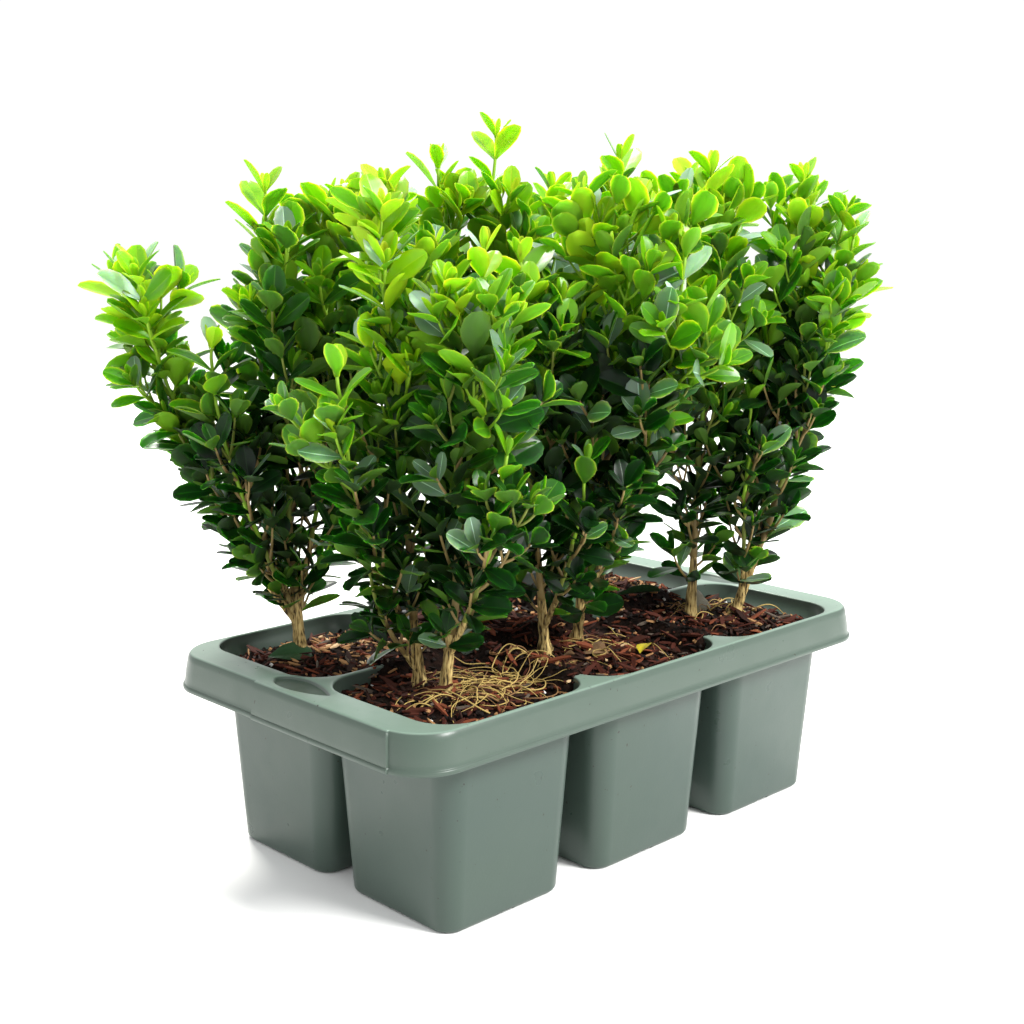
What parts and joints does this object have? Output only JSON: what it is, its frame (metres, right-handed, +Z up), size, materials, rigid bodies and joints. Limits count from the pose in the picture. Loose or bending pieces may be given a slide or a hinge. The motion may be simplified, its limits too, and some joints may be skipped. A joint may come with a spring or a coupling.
{
  "type": "boxwood shrubs in a six-cell nursery tray",
  "caption": "Young boxwood shrubs with leaning woody stems and merged leafy crowns, planted in the cells of one moulded nursery tray.",
  "frame": {"origin": "under the middle of the whole object's bounding box, on the surface that the tray stands on", "axes": "+X along the tray's three columns, +Y across its two rows from front to back, +Z up"},
  "size_m": [0.3454, 0.231, 0.343],
  "materials": {
    "tray": "satin sage-grey moulded plastic with a slightly glossier rim",
    "soil": "dark moist potting mix under shredded red-brown bark",
    "bark": "tan ridged bark",
    "foliage": "glossy leaves, yellow-green at the tips and dark green below"
  },
  "bodies": {
    "root": {"bough_back_left_1": "bark", "bough_back_left_2": "bark", "bough_back_left_3": "bark", "bough_back_left_4": "bark", "bough_back_left_5": "bark", "bough_back_middle_1": "bark", "bough_back_middle_2": "bark", "bough_back_middle_3": "bark", "bough_back_right_1": "bark", "bough_back_right_2": "bark", "bough_front_left_1": "bark", "bough_front_left_2": "bark", "bough_front_left_3": "bark", "bough_front_middle_1": "bark", "bough_front_middle_2": "bark", "bough_front_right_1": "bark", "bough_front_right_2": "bark", "foliage_back_left_1": "foliage", "foliage_back_left_2": "foliage", "foliage_back_left_3": "foliage", "foliage_back_left_4": "foliage", "foliage_back_left_5": "foliage", "foliage_back_left_6": "foliage", "foliage_back_middle_1": "foliage", "foliage_back_middle_2": "foliage", "foliage_back_middle_3": "foliage", "foliage_back_middle_4": "foliage", "foliage_back_right_1": "foliage", "foliage_back_right_2": "foliage", "foliage_back_right_3": "foliage", "foliage_front_left_1": "foliage", "foliage_front_left_2": "foliage", "foliage_front_left_3": "foliage", "foliage_front_left_4": "foliage", "foliage_front_left_5": "foliage", "foliage_front_middle_1": "foliage", "foliage_front_middle_2": "foliage", "foliage_front_middle_3": "foliage", "foliage_front_middle_4": "foliage", "foliage_front_right_1": "foliage", "foliage_front_right_2": "foliage", "foliage_front_right_3": "foliage", "foliage_front_right_4": "foliage", "root_ball_back_left": "soil", "root_ball_back_middle": "soil", "root_ball_back_right": "soil", "root_ball_front_left": "soil", "root_ball_front_middle": "soil", "root_ball_front_right": "soil", "tray": "tray", "trunk_back_left_1": "bark", "trunk_back_middle_1": "bark", "trunk_back_right_1": "bark", "trunk_front_left_1": "bark", "trunk_front_left_2": "bark", "trunk_front_middle_1": "bark", "trunk_front_middle_2": "bark", "trunk_front_right_1": "bark", "trunk_front_right_2": "bark"}
  },
  "joints": []
}
